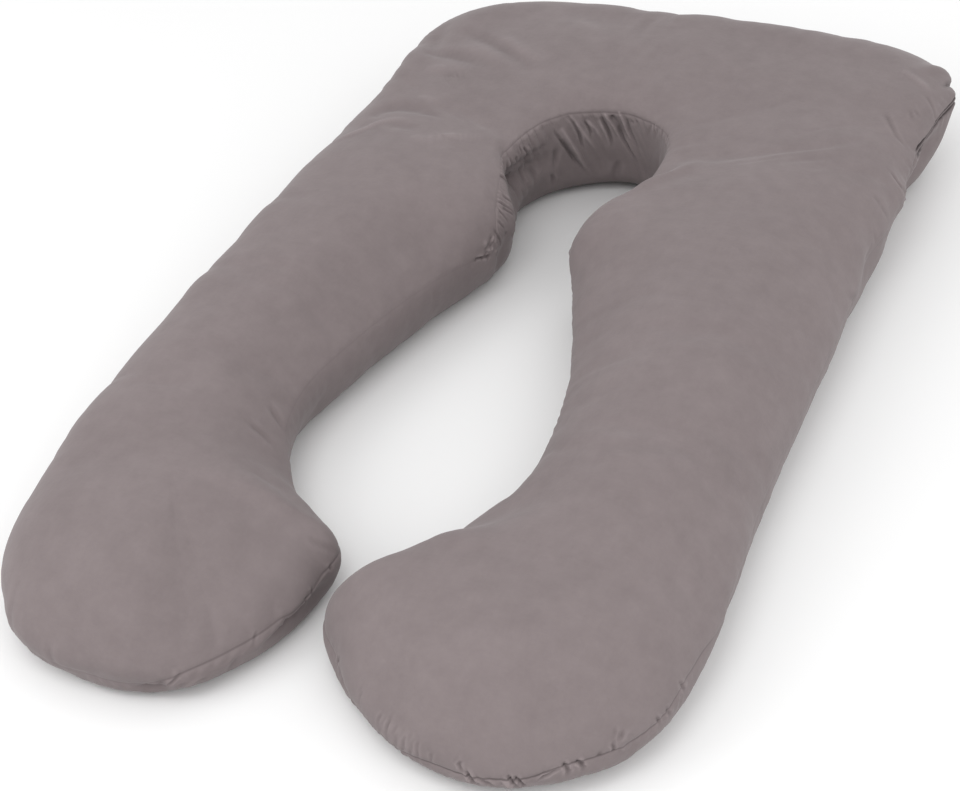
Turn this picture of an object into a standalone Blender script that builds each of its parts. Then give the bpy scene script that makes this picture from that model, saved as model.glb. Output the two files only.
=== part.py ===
"""A U-shaped body pillow, lying flat: two stuffed legs that curl in at the feet, joined by a
wide head with a keyhole for the neck. Metres, +Z up, +Y from the feet towards the head.

Its cover is two panels sewn together by one seam, which runs all the way round. The tables
below give the seam's plan and height, a row for each section across a leg, and how high the
stuffing stands there. Each section is a domed top that rolls over to the seam, the seam drawn
in between its two swells, and a lower half that rolls under and lies flat on the bed.
"""

import math
from collections import namedtuple

import bmesh
import bpy
import numpy as np

# One end of a section, at the seam. x is its distance from the middle line on both legs, y is
# measured from the toe line, and under is how far in from the seam the cover comes down to the
# bed. The two legs aren't quite alike: on both, the place sits to the right of its mirror image by
# lean, and the right leg's is further from the toe line by slip, the left leg's nearer to it.
Seam = namedtuple("Seam", "x y height under lean slip", defaults=(0.0, 0.0))

# The outer end of each section, from the middle of the head round the corner to the heel.
OUTER = (
    Seam(0.000, 1.418, 0.090, 0.065),
    Seam(0.130, 1.421, 0.092, 0.065),
    Seam(0.245, 1.411, 0.095, 0.070, lean=0.003, slip=0.001),
    Seam(0.332, 1.388, 0.100, 0.085, lean=0.020, slip=0.004),
    Seam(0.391, 1.316, 0.104, 0.100, lean=0.019, slip=0.003),
    Seam(0.385, 1.200, 0.095, 0.085, lean=0.015),
    Seam(0.388, 1.030, 0.085, 0.065, lean=0.008),
    Seam(0.391, 0.850, 0.075, 0.060),
    Seam(0.391, 0.700, 0.070, 0.060),
    Seam(0.391, 0.560, 0.066, 0.060),
    Seam(0.393, 0.420, 0.060, 0.055),
    Seam(0.395, 0.350, 0.057, 0.052, lean=0.001),
    Seam(0.394, 0.280, 0.055, 0.050, lean=0.003),
    Seam(0.389, 0.200, 0.052, 0.045, lean=0.007),
)
# The inner end of each section, from the top of the keyhole down to the instep of the foot.
INNER = (
    Seam(0.000, 1.102, 0.140, 0.045),
    Seam(0.036, 1.091, 0.140, 0.045, lean=0.002),
    Seam(0.072, 1.058, 0.138, 0.045, lean=0.001),
    Seam(0.094, 1.005, 0.134, 0.056),
    Seam(0.096, 0.945, 0.124, 0.052, lean=-0.005),
    Seam(0.076, 0.893, 0.108, 0.045, lean=-0.002),
    Seam(0.049, 0.838, 0.094, 0.055, lean=-0.018),
    Seam(0.070, 0.770, 0.084, 0.055, lean=-0.020),
    Seam(0.107, 0.660, 0.078, 0.055, lean=-0.015),
    Seam(0.138, 0.545, 0.074, 0.055, lean=-0.010),
    Seam(0.153, 0.440, 0.068, 0.055, lean=-0.009),
    Seam(0.140, 0.362, 0.061, 0.053, lean=-0.003, slip=-0.004),
    Seam(0.101, 0.304, 0.054, 0.050, lean=0.001, slip=0.003),
    Seam(0.043, 0.240, 0.048, 0.045, lean=0.018, slip=-0.014),
)
# The round toe from the heel to the instep. All of it meets the last section's crown.
TOE = (
    Seam(0.372, 0.115, 0.046, 0.045, lean=0.007, slip=0.002),
    Seam(0.284, 0.030, 0.040, 0.050, lean=0.002),
    Seam(0.181, 0.013, 0.037, 0.050, slip=0.004),
    Seam(0.106, 0.043, 0.038, 0.050, lean=0.004, slip=0.009),
    Seam(0.044, 0.098, 0.040, 0.045, lean=-0.003, slip=0.002),
    Seam(0.013, 0.172, 0.045, 0.040, lean=-0.007, slip=-0.004),
)
# How high the stuffing stands along the middle of each section.
CROWN = (
    *(0.172, 0.171, 0.166, 0.160, 0.157, 0.156, 0.161, 0.165),
    *(0.165, 0.162, 0.157, 0.152, 0.146, 0.140),
)

# Where the stitching draws the seam in deeper. The rows count clockwise all the way round, from 0 at
# the middle of the head, through the right leg, the keyhole (27 to 39) and the left leg, to 66.
Tuck = namedtuple("Tuck", "row spread depth")
TUCKS = (
    Tuck(4.6, 0.9, 0.012),
    Tuck(20.5, 0.8, 0.004),
    Tuck(27.0, 0.5, 0.005),
    Tuck(39.0, 0.5, 0.009),
    Tuck(45.2, 0.6, 0.006),
    Tuck(47.5, 0.8, 0.005),
    Tuck(61.5, 0.9, 0.004),
)
# Stretches where the cover is gathered into folds across the seam, and how deep they are below it
# and above it.
Gathers = namedtuple("Gathers", "first last folds lower upper")
GATHERS = (
    Gathers(2.6, 6.2, 6, 0.0030, 0.0030),
    Gathers(26.5, 39.5, 27, 0.0045, 0.0015),
    Gathers(60.0, 63.8, 6, 0.0015, 0.0020),
)
FOLD_SLANT = 0.8  # how many rows a fold runs on by, from the seam down to the bed

# How many steps the loft takes from each section to the next, and from row to row of the toe.
SECTION_STEPS = (8, 8, 8, 8, 8, 6, 4, 4, 4, 4, 4, 4, 4)
TOE_STEPS = 5

TOP_ROLL = 1.10  # breadth of the roll over to the seam, for each metre that it drops
DOME = 0.20  # share of the rise that carries on past the roll to the crown line
DRAWN_IN = 0.005  # depth that the stitching draws the seam in
TOP_ANGLES = (9, 24, 40, 56, 73, 90)  # degrees round the top roll, up from the seam
UNDER_ANGLES = (11, 30, 50, 70, 90)  # degrees round the lower roll, down from the seam
PLATEAU = (0.5,)  # shares of the way from the top roll to the crown line

COTTON = (0.265, 0.232, 0.225, 1.0)


def seam_rows():
    """Rows of (x, y, height, under, crown) all the way round, clockwise from the head's middle."""
    crowns = CROWN + (CROWN[-1],) * len(TOE) + CROWN[::-1]
    half = list(zip(OUTER + TOE + INNER[::-1], crowns))
    rows = [(at.lean + at.x, at.y + at.slip, at.height, at.under, crown) for at, crown in half]
    rows += [
        (at.lean - at.x, at.y - at.slip, at.height, at.under, crown) for at, crown in half[-2:0:-1]
    ]
    return np.array(rows)


def loft_steps():
    """How many steps the loft takes from each row to the next, all the way round."""
    right = SECTION_STEPS + (TOE_STEPS,) * (len(TOE) + 1) + SECTION_STEPS[::-1]
    return right + right[::-1]


def smooth_loop(rows, steps):
    """Points on the closed cubic spline through the rows, so many steps from each row to the next."""
    count = len(rows)
    ahead, behind = np.roll(np.arange(count), -1), np.roll(np.arange(count), 1)
    span = np.linalg.norm((rows[ahead] - rows)[:, :2], axis=1)
    slope = (rows[ahead] - rows) / span[:, None]
    bending = np.zeros((count, count))
    bending[np.arange(count), np.arange(count)] = 2 / span + 2 / span[behind]
    bending[np.arange(count), ahead] = 1 / span
    bending[np.arange(count), behind] = 1 / span[behind]
    pull = 3 * (slope / span[:, None] + (slope / span[:, None])[behind])
    tangent = np.linalg.solve(bending, pull)
    points = []
    for row in range(count):
        following = ahead[row]
        for t in np.arange(steps[row]) / steps[row]:
            points.append(
                rows[row] * (1 + 2 * t) * (1 - t) ** 2
                + rows[following] * (3 - 2 * t) * t**2
                + tangent[row] * span[row] * t * (1 - t) ** 2
                - tangent[following] * span[row] * t**2 * (1 - t)
            )
    return np.array(points)


def crown_ends(seam, steps):
    """For each seam point, the number of its place on the crown line, and those places' points.

    A section joins the seam point on one side of a leg to its mate on the other side, and the
    crown line runs midway between them. Every point of a toe shares the last place of its leg.
    """
    total = len(seam)
    toe_begins = sum(steps[: len(OUTER) - 1])
    toe_ends = toe_begins + sum(steps[len(OUTER) - 1 : len(OUTER) + len(TOE)])
    place_of = []
    for number in range(total):
        folded = min(number, total - number)
        along = min(folded, toe_begins) if folded < toe_ends else total // 2 - folded
        place_of.append(along if number <= total // 2 else -along)
    crown_line = {}
    for place in range(-toe_begins, toe_begins + 1):
        outer, inner = seam[place % total], seam[(total // 2 - place) % total]
        crown_line[place] = (outer + inner) / 2
    return place_of, crown_line


def top_height(inset, breadth, seam_height, crown_height):
    """Height of the top panel at an inset from the swell over the seam."""
    roll = min(TOP_ROLL * (crown_height - seam_height), 0.8 * breadth)
    round_over = math.sqrt(1 - (1 - min(inset / roll, 1)) ** 2)
    dome = 1 - (1 - inset / breadth) ** 2
    return seam_height + (crown_height - seam_height) * ((1 - DOME) * round_over + DOME * dome)


def tuck_depth(row):
    """How deep the stitching draws the seam in, at a place counted in rows."""
    return DRAWN_IN + sum(t.depth * math.exp(-(((row - t.row) / t.spread) ** 2)) for t in TUCKS)


def fold_depth(row, side):
    """How deep a gathered fold is at a place counted in rows, on the side "lower" or "upper"."""
    depth = 0.0
    for gathers in GATHERS:
        along = (row - gathers.first) / (gathers.last - gathers.first)
        if 0 < along < 1:
            uneven = along + 0.35 / gathers.folds * math.sin(17 * along)
            fold = 0.5 - 0.5 * math.cos(2 * math.pi * gathers.folds * uneven)
            size = (0.7 + 0.3 * math.sin(29 * along)) * math.sqrt(math.sin(math.pi * along))
            depth += getattr(gathers, side) * fold * size
    return depth


def section(row, seam_point, crown_point):
    """Points over the top from the crown line to the seam, and under it back to the crown line."""
    *_, seam_height, under, _ = seam_point
    crown_height = crown_point[4]
    inward = crown_point[:2] - seam_point[:2]
    breadth = np.linalg.norm(inward)
    inward = inward / breadth
    roll = min(TOP_ROLL * (crown_height - seam_height), 0.8 * breadth)

    def point(inset, height):
        return (*(seam_point[:2] + inward * inset), height)

    plateau = [roll + share * (breadth - roll) for share in PLATEAU]
    points = [
        point(inset, top_height(inset, breadth, seam_height, crown_height)) for inset in plateau
    ]
    for angle in np.radians(TOP_ANGLES[::-1]):
        inset = roll * (1 - math.cos(angle))
        height = top_height(inset, breadth, seam_height, crown_height)
        points.append(point(inset + fold_depth(row, "upper") * math.cos(angle), height))
    points.append(point(tuck_depth(row) + fold_depth(row, "lower"), seam_height))
    for angle in np.radians(UNDER_ANGLES):
        fold = fold_depth(row + FOLD_SLANT * math.sin(angle), "lower") * math.cos(angle)
        inset = under * (1 - math.cos(angle)) + fold
        points.append(point(inset, seam_height * (1 - math.sin(angle))))
    return points


def pillow():
    """The stuffed pillow as one closed body, centred on the bed below it."""
    steps = loft_steps()
    seam = smooth_loop(seam_rows(), steps)
    place_of, crown_line = crown_ends(seam, steps)
    rows = [row + step / count for row, count in enumerate(steps) for step in range(count)]
    shape = bmesh.new()
    crowns = {
        place: shape.verts.new((x, y, crown)) for place, (x, y, *_, crown) in crown_line.items()
    }
    beds = {place: shape.verts.new((x, y, 0)) for place, (x, y, *_) in crown_line.items()}
    sections = []
    for row, seam_point, place in zip(rows, seam, place_of):
        between = [shape.verts.new(point) for point in section(row, seam_point, crown_line[place])]
        sections.append([crowns[place]] + between + [beds[place]])
    for near, far in zip(sections, sections[1:] + sections[:1]):
        for a, b, c, d in zip(near, near[1:], far[1:], far):
            shape.faces.new(list(dict.fromkeys((a, b, c, d))))
    bmesh.ops.recalc_face_normals(shape, faces=shape.faces)
    corners = np.array([vert.co for vert in shape.verts])
    middle = (corners.min(axis=0) + corners.max(axis=0)) / 2
    bmesh.ops.translate(shape, verts=shape.verts, vec=(-middle[0], -middle[1], 0))
    mesh = bpy.data.meshes.new("pillow")
    shape.to_mesh(mesh)
    shape.free()
    mesh.shade_smooth()
    return mesh


def cotton():
    """Brushed cotton in a warm grey."""
    material = bpy.data.materials.new("brushed_cotton")
    material.use_nodes = True
    surface = material.node_tree.nodes["Principled BSDF"]
    surface.inputs["Base Color"].default_value = COTTON
    surface.inputs["Roughness"].default_value = 0.85
    surface.inputs["Metallic"].default_value = 0.0
    return material


for leftover in list(bpy.data.objects):
    bpy.data.objects.remove(leftover)
body = bpy.data.objects.new("pillow", pillow())
body.data.materials.append(cotton())
bpy.context.collection.objects.link(body)
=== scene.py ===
"""Looks of the U-shaped body pillow: its cotton cover, gathered seam, creases and studio."""

import math
from collections import namedtuple

import bpy
import numpy as np
from mathutils import Matrix, Vector


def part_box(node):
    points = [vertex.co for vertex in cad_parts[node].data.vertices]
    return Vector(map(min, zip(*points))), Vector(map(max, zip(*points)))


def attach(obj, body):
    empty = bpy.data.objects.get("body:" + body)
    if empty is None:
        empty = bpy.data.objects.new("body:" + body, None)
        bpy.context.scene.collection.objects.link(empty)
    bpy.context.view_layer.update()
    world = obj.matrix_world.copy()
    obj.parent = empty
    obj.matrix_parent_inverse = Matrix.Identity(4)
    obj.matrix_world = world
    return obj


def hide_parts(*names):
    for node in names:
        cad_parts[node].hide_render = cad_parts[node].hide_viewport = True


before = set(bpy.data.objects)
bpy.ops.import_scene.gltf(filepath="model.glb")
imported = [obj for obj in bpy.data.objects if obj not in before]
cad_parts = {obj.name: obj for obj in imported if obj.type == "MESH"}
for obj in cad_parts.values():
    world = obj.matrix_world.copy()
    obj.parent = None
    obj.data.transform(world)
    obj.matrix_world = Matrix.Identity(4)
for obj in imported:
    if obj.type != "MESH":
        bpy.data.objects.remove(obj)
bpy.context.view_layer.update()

# ------------------------------
# The cut of the pillow, the same rows as its solid has. x is the distance from the middle line on
# both legs, y is measured from the toe line, under is how far in from the seam the cover comes
# down to the bed. Lean and slip say how far the two legs are from mirror images.
Seam = namedtuple("Seam", "x y height under lean slip", defaults=(0.0, 0.0))
OUTER = (
    Seam(0.000, 1.418, 0.090, 0.065),
    Seam(0.130, 1.421, 0.092, 0.065),
    Seam(0.245, 1.411, 0.095, 0.070, lean=0.003, slip=0.001),
    Seam(0.332, 1.388, 0.100, 0.085, lean=0.020, slip=0.004),
    Seam(0.391, 1.316, 0.104, 0.100, lean=0.019, slip=0.003),
    Seam(0.385, 1.200, 0.095, 0.085, lean=0.015),
    Seam(0.388, 1.030, 0.085, 0.065, lean=0.008),
    Seam(0.391, 0.850, 0.075, 0.060),
    Seam(0.391, 0.700, 0.070, 0.060),
    Seam(0.391, 0.560, 0.066, 0.060),
    Seam(0.393, 0.420, 0.060, 0.055),
    Seam(0.395, 0.350, 0.057, 0.052, lean=0.001),
    Seam(0.394, 0.280, 0.055, 0.050, lean=0.003),
    Seam(0.389, 0.200, 0.052, 0.045, lean=0.007),
)
INNER = (
    Seam(0.000, 1.102, 0.140, 0.045),
    Seam(0.036, 1.091, 0.140, 0.045, lean=0.002),
    Seam(0.072, 1.058, 0.138, 0.045, lean=0.001),
    Seam(0.094, 1.005, 0.134, 0.056),
    Seam(0.096, 0.945, 0.124, 0.052, lean=-0.005),
    Seam(0.076, 0.893, 0.108, 0.045, lean=-0.002),
    Seam(0.049, 0.838, 0.094, 0.055, lean=-0.018),
    Seam(0.070, 0.770, 0.084, 0.055, lean=-0.020),
    Seam(0.107, 0.660, 0.078, 0.055, lean=-0.015),
    Seam(0.138, 0.545, 0.074, 0.055, lean=-0.010),
    Seam(0.153, 0.440, 0.068, 0.055, lean=-0.009),
    Seam(0.140, 0.362, 0.061, 0.053, lean=-0.003, slip=-0.004),
    Seam(0.101, 0.304, 0.054, 0.050, lean=0.001, slip=0.003),
    Seam(0.043, 0.240, 0.048, 0.045, lean=0.018, slip=-0.014),
)
TOE = (
    Seam(0.372, 0.115, 0.046, 0.045, lean=0.007, slip=0.002),
    Seam(0.284, 0.030, 0.040, 0.050, lean=0.002),
    Seam(0.181, 0.013, 0.037, 0.050, slip=0.004),
    Seam(0.106, 0.043, 0.038, 0.050, lean=0.004, slip=0.009),
    Seam(0.044, 0.098, 0.040, 0.045, lean=-0.003, slip=0.002),
    Seam(0.013, 0.172, 0.045, 0.040, lean=-0.007, slip=-0.004),
)
CROWN = (
    *(0.172, 0.171, 0.166, 0.160, 0.157, 0.156, 0.161, 0.165),
    *(0.165, 0.162, 0.157, 0.152, 0.146, 0.140),
)
# How far in from the widest line the top's roll reaches, by row, as a multiple of the rise to the
# crown, but never more than MOST_ROLL of the way there. DOME is the share of the rise that is
# spread evenly over the whole way.
TOP_ROLL = (
    *((0, 1.1), (20, 1.1), (21.5, 1.45), (26, 1.45), (26.8, 1.1), (29, 1.1), (31, 1.9), (36, 1.9)),
    *((36.8, 1.1), (39.6, 1.1), (40.4, 2.0), (43.6, 2.0), (44.6, 1.8), (45.4, 1.6), (46.0, 1.4)),
    *((46.5, 2.1), (48.4, 2.1), (49.4, 1.2), (50, 1.1), (66, 1.1)),
)
MOST_ROLL = 0.85
DOME = 0.26
# How square the roll from the widest line to the top is, by row: 2 is an ellipse, 1 a straight slope.
TOP_SQUARENESS = (
    *((0, 2.0), (13.0, 2.0), (14.0, 1.8), (18.0, 1.8), (20.0, 1.9), (22, 1.7), (26, 1.7)),
    *((26.8, 2.0), (30, 2.0), (31, 1.7), (36, 1.7), (36.8, 2.0), (39.6, 2.0), (40.4, 1.7)),
    *((43.6, 1.7), (45.4, 1.7), (46.0, 1.7), (46.5, 1.3), (48.4, 1.35), (49.5, 2.0), (66, 2.0)),
)

# The line that is stitched isn't the widest one everywhere: the height in millimetres, along the
# cover, that it runs above it, by row. Rows count clockwise round the loop from the head's middle.
STITCH_RISE = (
    *((0, 0), (3.7, 0), (3.95, 5), (4.15, 6), (4.33, 4), (4.5, 8), (4.67, 8), (4.8, 6), (4.95, 5)),
    *((5.09, 9), (5.2, 12.5), (5.28, 12), (5.4, 6), (5.7, 0), (12.2, 0)),
    *((12.7, 8), (13.3, 10), (13.7, 3), (14.2, 2), (14.5, 5), (14.7, 8), (14.85, 4), (15, 0)),
    *((15.6, -0.5), (16.1, -3), (16.5, -9), (17.4, -12), (17.8, -2), (18.1, 7), (20, 8)),
    *((21.5, 14), (22.3, 20), (23.5, 20), (24.5, 17), (25.1, 13), (25.5, 8), (25.9, 0)),
    *((26.5, -10), (26.7, -2), (26.82, 18), (26.94, 32), (27.2, 42), (27.5, 49), (27.9, 53)),
    *((28.2, 50), (28.55, 39), (28.85, 29), (29.1, 20), (29.6, 15), (30.4, 11), (30.8, 7)),
    *((31.3, 1), (32, -5), (33.3, -4.5), (34.1, -2), (34.75, 4), (35.2, 7), (35.6, 11.5)),
    *((36.4, 15.5), (36.9, 20), (37.15, 29), (37.45, 39), (37.8, 50), (38.1, 53), (38.5, 49)),
    *((38.8, 42), (39.06, 32), (39.18, 18), (39.3, -2), (39.5, -10), (40.1, 0)),
    *((40.5, 8), (40.9, 13), (41.5, 17), (42.5, 20), (43.7, 20), (44.1, 9), (44.8, 3)),
    *((45.7, 3.5), (46.2, 6), (46.6, 8.5), (46.85, 4), (47.1, 2.5), (47.3, 4), (47.45, 9)),
    *((47.8, 10), (48.2, 11), (48.6, 9.5), (48.9, 6), (49.1, 1), (49.4, -6), (49.6, -9), (50, -6)),
    *((51.5, 0), (66, 0)),
)

# The cover's mesh: stations from each section to the next, and round the toe, and the columns of
# points that each station has from the crown over the stitched line down to the bed. They start
# a little apart at the stitches and open out.
SECTION_STEPS = (10, 12, 14, 15, 14, 16, 14, 12, 11, 11, 8, 8, 10)
TOE_STEPS = (12, 18, 15, 12, 12, 12, 12)
TOP_COLUMNS = 12
WALL_COLUMNS = 8
BED_COLUMNS = 1
TOP_SPREAD = (0.12, 1.6)
WALL_SPREAD = (0.25, 1.4)
# The cuts of the outline that the columns are measured along: of each roll, and of the top past it.
ROLL_CUTS = 39
CROWN_CUTS = 11


def by_row(rows, table):
    """The value that a table gives for each row, and between its rows evenly."""
    return np.interp(rows, *np.array(table).T)


def between(values, first, last, ends):
    """1 from the first value to the last, and 0 outside, coming and going over the ends."""
    return np.clip((values - first) / ends, 0, 1) * np.clip((last - values) / ends, 0, 1)


def hump(away, width):
    """A soft hump, 1 in the middle and nearly 0 at twice its width."""
    return np.exp(-((away / width) ** 2))


def seam_rows():
    """The seam's rows all the way round: x, y, height, reach under and the crown's height."""
    crowns = CROWN + (CROWN[-1],) * len(TOE) + CROWN[::-1]
    half = list(zip(OUTER + TOE + INNER[::-1], crowns))
    rows = [(at.lean + at.x, at.y + at.slip, at.height, at.under, crown) for at, crown in half]
    for at, crown in half[-2:0:-1]:
        rows.append((at.lean - at.x, at.y - at.slip, at.height, at.under, crown))
    return np.array(rows)


def loft_steps():
    right = SECTION_STEPS + TOE_STEPS + SECTION_STEPS[::-1]
    return right + right[::-1]


def station_rows():
    """The row, and the part of the way to the next, of each station, and of the first again."""
    steps = loft_steps()
    return np.interp(np.arange(sum(steps) + 1), np.cumsum((0,) + steps), np.arange(len(steps) + 1))


def smooth_loop(rows, steps):
    """A closed cubic spline through the rows, cut into steps from each row to the next."""
    count = len(rows)
    ahead, behind = np.roll(np.arange(count), -1), np.roll(np.arange(count), 1)
    span = np.linalg.norm((rows[ahead] - rows)[:, :2], axis=1)
    slope = (rows[ahead] - rows) / span[:, None]
    bending = np.zeros((count, count))
    bending[np.arange(count), np.arange(count)] = 2 / span + 2 / span[behind]
    bending[np.arange(count), ahead] = 1 / span
    bending[np.arange(count), behind] = 1 / span[behind]
    pull = 3 * (slope / span[:, None] + (slope / span[:, None])[behind])
    tangent = np.linalg.solve(bending, pull)
    points = []
    for row in range(count):
        following = ahead[row]
        for t in np.arange(steps[row]) / steps[row]:
            points.append(
                rows[row] * (1 + 2 * t) * (1 - t) ** 2
                + rows[following] * (3 - 2 * t) * t**2
                + tangent[row] * span[row] * t * (1 - t) ** 2
                - tangent[following] * span[row] * t**2 * (1 - t)
            )
    return np.array(points)


def crown_ends(seam, steps):
    """For each station the middle between it and its mate on the same leg's other side."""
    total = len(seam)
    toe_begins = sum(steps[: len(OUTER) - 1])
    toe_ends = toe_begins + sum(steps[len(OUTER) - 1 : len(OUTER) + len(TOE)])
    ends = []
    for number in range(total):
        folded = min(number, total - number)
        along = min(folded, toe_begins) if folded < toe_ends else total // 2 - folded
        place = along if number <= total // 2 else -along
        ends.append((seam[place % total] + seam[(total // 2 - place) % total]) / 2)
    return np.array(ends)


def profiles(seam, crown, square, roll_share):
    """Each station's outline, finely cut: the crown, the widest line, the bed's edge and the bed."""
    inward = crown[:, :2] - seam[:, :2]
    breadth = np.linalg.norm(inward, axis=1)
    inward /= breadth[:, None]
    rise = crown[:, 4] - seam[:, 2]
    roll = np.minimum(roll_share * rise, MOST_ROLL * breadth)
    under = seam[:, 3]

    def place(inset, height):
        return np.column_stack([seam[:, :2] + inward * inset[:, None], height])

    def top(inset):
        round_over = (1 - (1 - np.minimum(inset / roll, 1)) ** square) ** (1 / square)
        dome = 1 - (1 - inset / breadth) ** 2
        return place(inset, seam[:, 2] + rise * ((1 - DOME) * round_over + DOME * dome))

    turns = np.linspace(0, math.pi / 2, ROLL_CUTS + 1)
    shares = np.linspace(1, 0, CROWN_CUTS + 1)[:-1]
    points = [top(roll + share * (breadth - roll)) for share in shares]
    points += [top(roll * (1 - math.cos(turn))) for turn in turns[::-1]]
    widest = len(points) - 1
    for turn in turns[1:]:
        points.append(place(under * (1 - math.cos(turn)), seam[:, 2] * (1 - math.sin(turn))))
    bed_edge = len(points) - 1
    points.append(place(breadth, 0 * breadth))
    return np.stack(points, axis=1), widest, bed_edge


def spread(columns, shape):
    """Distances from 0 to 1 that start closer together than they end."""
    first, power = shape
    share = np.linspace(0, 1, columns + 1)
    return first * share + (1 - first) * share**power


def loft():
    """The cover's points from crown to bed at each station, and their lengths from the stitches."""
    steps = loft_steps()
    seam = smooth_loop(seam_rows(), steps)
    rows = station_rows()[:-1]
    square, roll = by_row(rows, TOP_SQUARENESS), by_row(rows, TOP_ROLL)
    outline, widest, bed_edge = profiles(seam, crown_ends(seam, steps), square, roll)
    rise = by_row(rows, STITCH_RISE) / 1000
    reach = np.linalg.norm(np.diff(outline, axis=1), axis=2)
    reach = np.column_stack([np.zeros(len(seam)), np.cumsum(reach, axis=1)])
    stitches = reach[:, widest] - rise
    points, across = [], []
    for station in range(len(seam)):
        up = stitches[station] * (1 - spread(TOP_COLUMNS, TOP_SPREAD)[::-1])
        edge, bed = reach[station, bed_edge], reach[station, -1]
        down = stitches[station] + (edge - stitches[station]) * spread(WALL_COLUMNS, WALL_SPREAD)
        flat = np.linspace(edge, bed, BED_COLUMNS + 1)
        at = np.concatenate([up, down[1:], flat[1:]])
        points.append([np.interp(at, reach[station], axis) for axis in outline[station].T])
        across.append(stitches[station] - at)
    points = np.array(points).transpose(0, 2, 1)
    low, high = (np.array(corner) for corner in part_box("pillow"))
    shift = (low + high) / 2 - (points.min(axis=(0, 1)) + points.max(axis=(0, 1))) / 2
    points[:, :, :2] += shift[:2]
    return points, np.array(across)


def stitched_line(points):
    """Each station's length along the stitches and its row, and the first one's again."""
    seam = np.concatenate([points, points[:1]])[:, TOP_COLUMNS]
    along = np.concatenate([[0], np.cumsum(np.linalg.norm(np.diff(seam, axis=0), axis=1))])
    return along, station_rows()


def sew_cover(points, across, along):
    """The pillow's mesh, with a map of each point's lengths along the seam and from it, in metres."""
    points = np.concatenate([points, points[:1]])
    across = np.concatenate([across, across[:1]])
    cloth = np.stack([np.broadcast_to(along[:, None], across.shape), across], axis=2)
    bpy.ops.object.select_all(action="DESELECT")
    bpy.ops.mesh.primitive_grid_add(
        x_subdivisions=points.shape[1] - 1, y_subdivisions=points.shape[0] - 1, size=1
    )
    cover = bpy.context.object
    cover.name = cover.data.name = "cover"
    mesh = cover.data
    mesh.vertices.foreach_set("co", points.ravel())
    corner = np.empty(len(mesh.loops), int)
    mesh.loops.foreach_get("vertex_index", corner)
    mesh.uv_layers.active.name = "cloth"
    mesh.uv_layers.active.data.foreach_set("uv", cloth.reshape(-1, 2)[corner].ravel())
    bpy.ops.object.mode_set(mode="EDIT")
    bpy.ops.mesh.select_all(action="SELECT")
    bpy.ops.mesh.remove_doubles(threshold=0.0001)
    bpy.ops.mesh.normals_make_consistent(inside=False)
    bpy.ops.object.mode_set(mode="OBJECT")
    bpy.ops.object.shade_smooth()
    return cover


def neighbour_mean(mesh, values, rounds):
    """The values smoothed over the mesh, each round taking the mean of a point's neighbours."""
    ends = np.empty(len(mesh.edges) * 2, int)
    mesh.edges.foreach_get("vertices", ends)
    first, second = ends[0::2], ends[1::2]
    count = np.bincount(ends, minlength=len(values))[:, None]
    for _ in range(rounds):
        total = np.zeros_like(values)
        for axis in range(values.shape[1]):
            total[:, axis] = np.bincount(first, values[second, axis], len(values))
            total[:, axis] += np.bincount(second, values[first, axis], len(values))
        values = (values + total / count) / 2
    return values


def coordinates(mesh):
    values = np.empty(len(mesh.vertices) * 3)
    mesh.vertices.foreach_get("co", values)
    return values.reshape(-1, 3)


def move_to(mesh, points):
    mesh.vertices.foreach_set("co", points.ravel())
    mesh.update()


# How the cover is stuffed. The bed holds it up to HELD_HEIGHT, and it is held a little everywhere.
# The cloth is drawn in along the stitches and slack elsewhere. Smoothing finds the swelling, which
# is taken off, and a share of the wrinkles is kept, none of them moved more than MOST_MOVED.
HELD_HEIGHT = 0.006
LOOSE_HOLD = 0.02
DRAWN_WIDTH = 0.006
DRAWN_IN = 0.06
SLACK = 0.03
STUFFING_FRAMES = 20
WRINKLE_ROUNDS = 24
WRINKLES_KEPT = 0.35
MOST_MOVED = 0.003


def stuff(cover):
    """Blows the cover up from inside, and keeps the wrinkles that come but not the swelling."""
    mesh = cover.data
    before = coordinates(mesh)
    held = cover.vertex_groups.new(name="held")
    drawn = cover.vertex_groups.new(name="drawn")
    length = cloth_lengths(mesh)
    for number, (point, across) in enumerate(zip(before, length[:, 1])):
        on_bed = max(0.0, 1 - point[2] / HELD_HEIGHT)
        held.add([number], min(1.0, LOOSE_HOLD + on_bed), "REPLACE")
        drawn.add([number], math.exp(-((across / DRAWN_WIDTH) ** 2)), "REPLACE")
    cloth = cover.modifiers.new("Cloth", "CLOTH")
    cloth.settings.quality = 6
    cloth.settings.mass = 0.2
    cloth.settings.tension_stiffness = cloth.settings.compression_stiffness = 20
    cloth.settings.shear_stiffness = 10
    cloth.settings.bending_stiffness = 0.05
    cloth.settings.vertex_group_mass = held.name
    cloth.settings.pin_stiffness = 0.6
    cloth.settings.use_pressure = True
    cloth.settings.uniform_pressure_force = 4
    cloth.settings.vertex_group_shrink = drawn.name
    cloth.settings.shrink_min = -SLACK
    cloth.settings.shrink_max = DRAWN_IN
    cloth.settings.effector_weights.gravity = 0
    cloth.collision_settings.use_collision = False
    for number in range(1, STUFFING_FRAMES + 1):
        bpy.context.scene.frame_set(number)
    bpy.ops.object.modifier_apply(modifier=cloth.name)
    bpy.context.scene.frame_set(1)
    moved = coordinates(mesh) - before
    wrinkles = (moved - neighbour_mean(mesh, moved, WRINKLE_ROUNDS)) * WRINKLES_KEPT
    size = np.linalg.norm(wrinkles, axis=1)[:, None]
    wrinkles *= np.minimum(1, MOST_MOVED / np.maximum(size, 1e-9))
    move_to(mesh, before + wrinkles)
    cover.vertex_groups.clear()


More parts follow.
